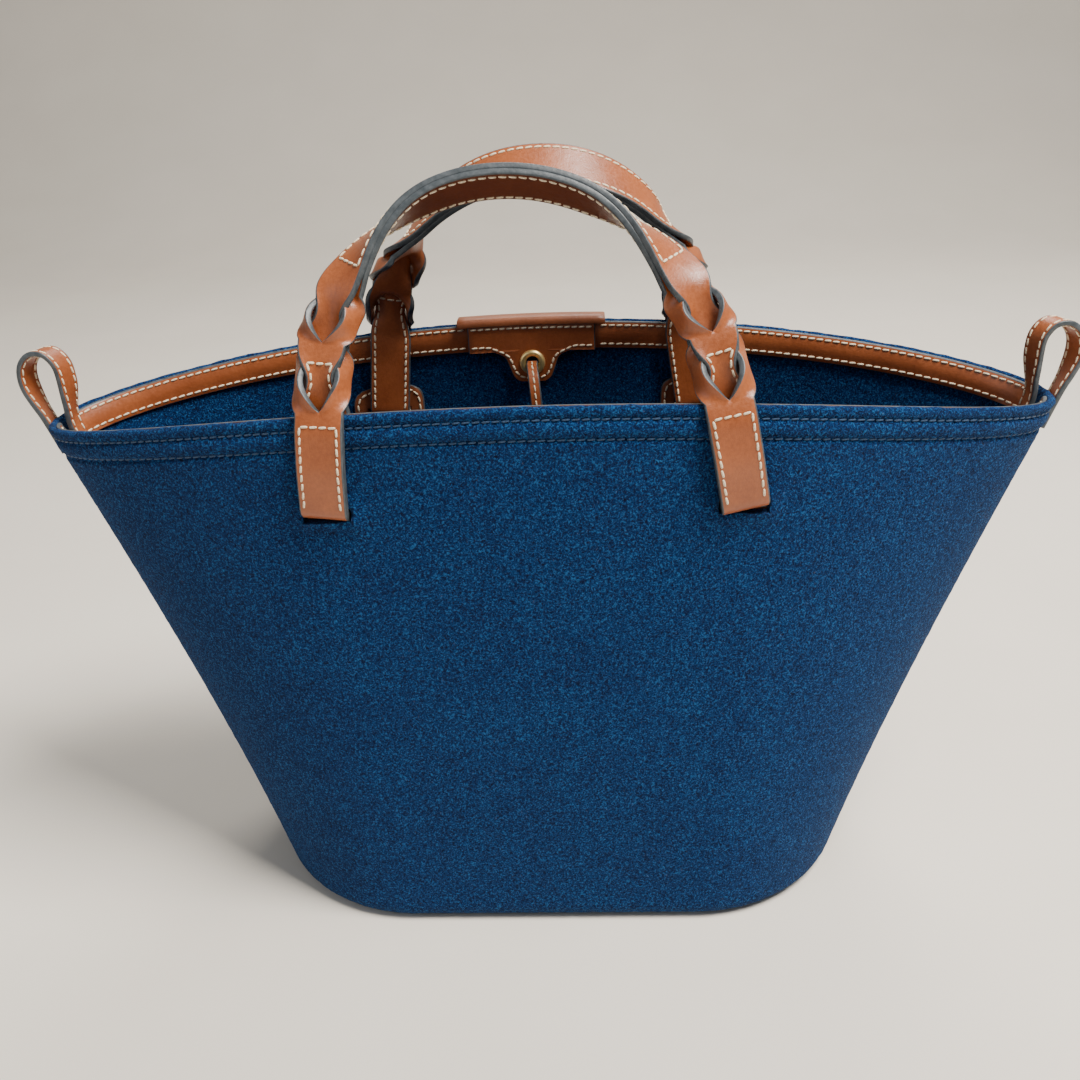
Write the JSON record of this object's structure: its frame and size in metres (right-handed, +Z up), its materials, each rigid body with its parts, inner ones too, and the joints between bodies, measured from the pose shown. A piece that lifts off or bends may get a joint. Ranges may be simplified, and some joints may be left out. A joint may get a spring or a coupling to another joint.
{
  "type": "felt basket bag",
  "caption": "Boat-shaped open-top felt handbag with a stitched leather rim facing, folding leather handles with plaited ends, end loops and a hanging closure strap.",
  "frame": {"origin": "centre of the base, on the surface that the bag stands on", "axes": "+X along the bag's long side, to its right seen from the front; the front faces -Y; +Z up"},
  "size_m": [0.3934, 0.1266, 0.2883],
  "materials": {
    "felt": "matt blue melange wool felt",
    "leather": "satin tan leather with painted grey edges and cream stitching",
    "lining_leather": "satin tan leather with painted grey edges and cream stitching",
    "brass": "polished"
  },
  "bodies": {
    "bag": {"felt_front_panel": "felt", "felt_back_panel": "felt", "felt_base_panel": "felt", "rim_facing_front": "lining_leather", "rim_facing_back": "lining_leather", "closure_tab": "lining_leather", "rim_cap": "lining_leather", "eyelet": "brass", "eyelet_washer": "brass", "side_loop_left": "leather", "side_loop_right": "leather", "handle_loop_front_a": "leather", "handle_loop_front_b": "leather", "handle_loop_back_a": "leather", "handle_loop_back_b": "leather", "slot_patch_front_a": "lining_leather", "slot_patch_front_b": "lining_leather", "slot_patch_back_a": "lining_leather", "slot_patch_back_b": "lining_leather"},
    "front_handle": {"front_grip_outer": "leather", "front_grip_inner": "leather", "front_a_strand_outer": "leather", "front_a_strand_inner": "leather", "front_b_strand_outer": "leather", "front_b_strand_inner": "leather"},
    "back_handle": {"back_grip_outer": "leather", "back_grip_inner": "leather", "back_a_strand_outer": "leather", "back_a_strand_inner": "leather", "back_b_strand_outer": "leather", "back_b_strand_inner": "leather"},
    "closure_cord": {"closure_strap": "leather", "closure_knot": "leather"}
  },
  "joints": [
    {"name": "front_handle_fold", "type": "hinge", "parent": "bag", "child": "front_handle", "pos_m": [0, -0.0511, 0.216], "axis": [1, 0, 0], "range_deg": [-5, 140]},
    {"name": "back_handle_fold", "type": "hinge", "parent": "bag", "child": "back_handle", "pos_m": [0, 0.0511, 0.216], "axis": [-1, 0, 0], "range_deg": [-5, 140]},
    {"name": "closure_swing", "type": "hinge", "parent": "bag", "child": "closure_cord", "pos_m": [0, 0.0466, 0.2005], "axis": [-1, 0, 0], "range_deg": [0, 45]}
  ]
}
